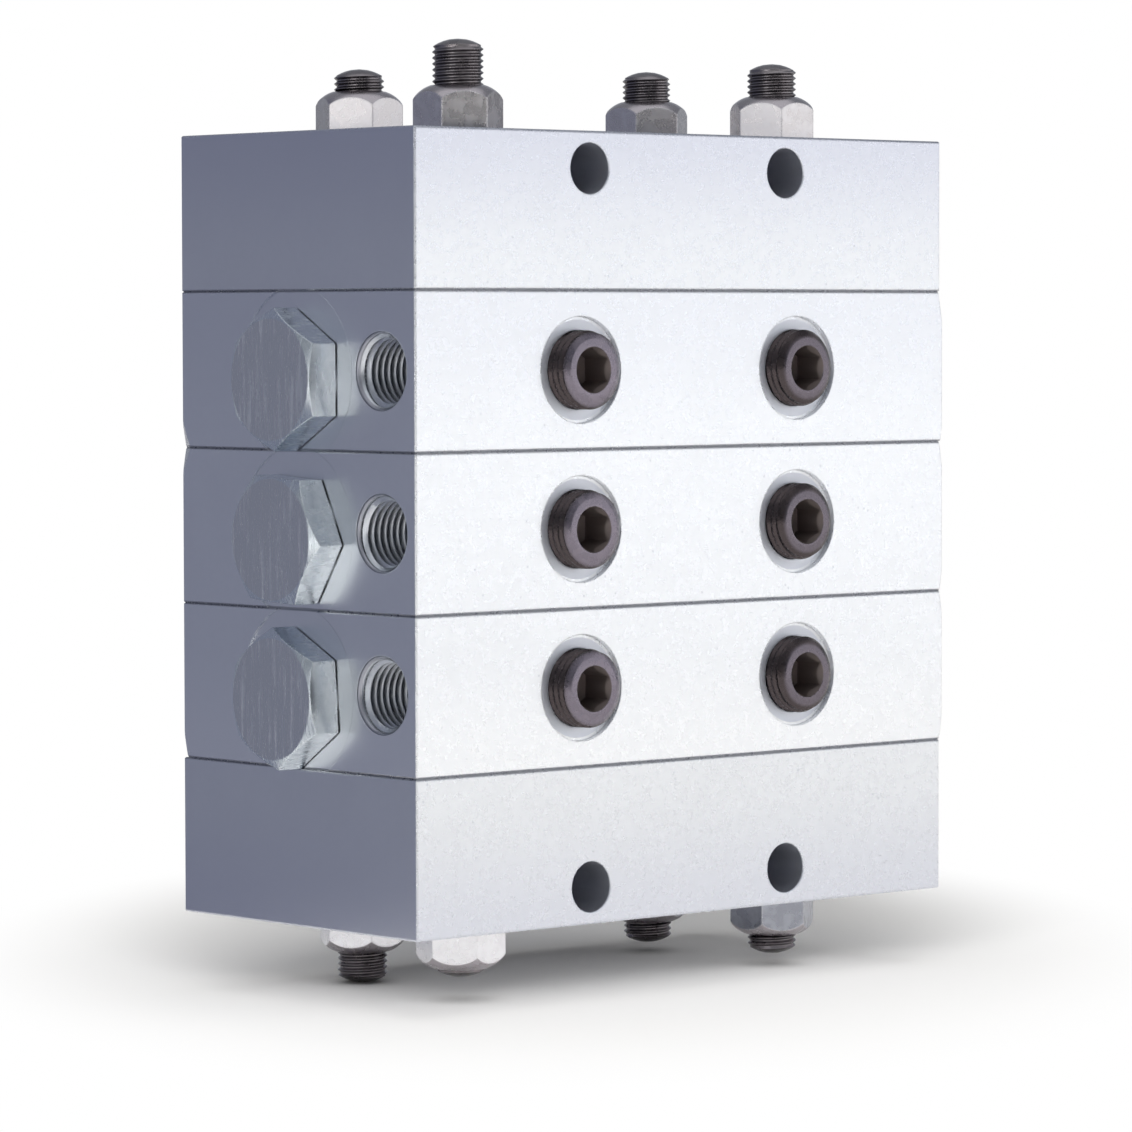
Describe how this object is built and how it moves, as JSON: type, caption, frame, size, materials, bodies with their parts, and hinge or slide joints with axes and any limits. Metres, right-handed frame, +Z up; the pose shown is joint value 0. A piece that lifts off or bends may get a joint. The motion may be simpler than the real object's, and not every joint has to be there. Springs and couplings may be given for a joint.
{
  "type": "lubricant divider block",
  "caption": "Stack of plated steel blocks clamped by tie rods, whose metering pistons share a lubricant supply out among threaded outlet ports in the side faces.",
  "frame": {"origin": "centre of the four mounting holes, on the back face that goes against the machine", "axes": "+X to the right along the front face, +Y out of the back face, +Z up the stack to the inlet block"},
  "size_m": [0.1438, 0.0701, 0.1738],
  "materials": {
    "zinc_block": "bright zinc plate",
    "zinc_plug": "zinc plate",
    "zinc_nut": "zinc plate",
    "black_steel": "black oxide, oiled",
    "hardened_steel": "ground",
    "seal_rubber": "matt"
  },
  "bodies": {
    "block_stack": {"bottom_nut_front_left": "zinc_nut", "bottom_nut_front_right": "zinc_nut", "bottom_nut_rear_left": "zinc_nut", "bottom_nut_rear_right": "zinc_nut", "closure_plug_left_bottom": "zinc_plug", "closure_plug_left_middle": "zinc_plug", "closure_plug_left_top": "zinc_plug", "closure_plug_right_bottom": "zinc_plug", "closure_plug_right_middle": "zinc_plug", "closure_plug_right_top": "zinc_plug", "closure_seal_left_bottom": "seal_rubber", "closure_seal_left_middle": "seal_rubber", "closure_seal_left_top": "seal_rubber", "closure_seal_right_bottom": "seal_rubber", "closure_seal_right_middle": "seal_rubber", "closure_seal_right_top": "seal_rubber", "end_block": "zinc_block", "inlet_block": "zinc_block", "joint_seals_1": "seal_rubber", "joint_seals_2": "seal_rubber", "joint_seals_3": "seal_rubber", "joint_seals_4": "seal_rubber", "port_plug_left_bottom": "black_steel", "port_plug_left_middle": "black_steel", "port_plug_left_top": "black_steel", "port_plug_right_bottom": "black_steel", "port_plug_right_middle": "black_steel", "port_plug_right_top": "black_steel", "section_block_bottom": "zinc_block", "section_block_middle": "zinc_block", "section_block_top": "zinc_block", "tie_rod_front_left": "black_steel", "tie_rod_front_right": "black_steel", "tie_rod_rear_left": "black_steel", "tie_rod_rear_right": "black_steel", "top_nut_front_left": "zinc_nut", "top_nut_front_right": "zinc_nut", "top_nut_rear_left": "zinc_nut", "top_nut_rear_right": "zinc_nut"},
    "top_piston": {"piston_top": "hardened_steel"},
    "middle_piston": {"piston_middle": "hardened_steel"},
    "bottom_piston": {"piston_bottom": "hardened_steel"}
  },
  "joints": [
    {"name": "top_piston_slide", "type": "slide", "parent": "block_stack", "child": "top_piston", "axis": [1, 0, 0], "range_m": [-0.00647, 0.00647]},
    {"name": "middle_piston_slide", "type": "slide", "parent": "block_stack", "child": "middle_piston", "axis": [1, 0, 0], "range_m": [-0.00647, 0.00647]},
    {"name": "bottom_piston_slide", "type": "slide", "parent": "block_stack", "child": "bottom_piston", "axis": [1, 0, 0], "range_m": [-0.00647, 0.00647]}
  ]
}
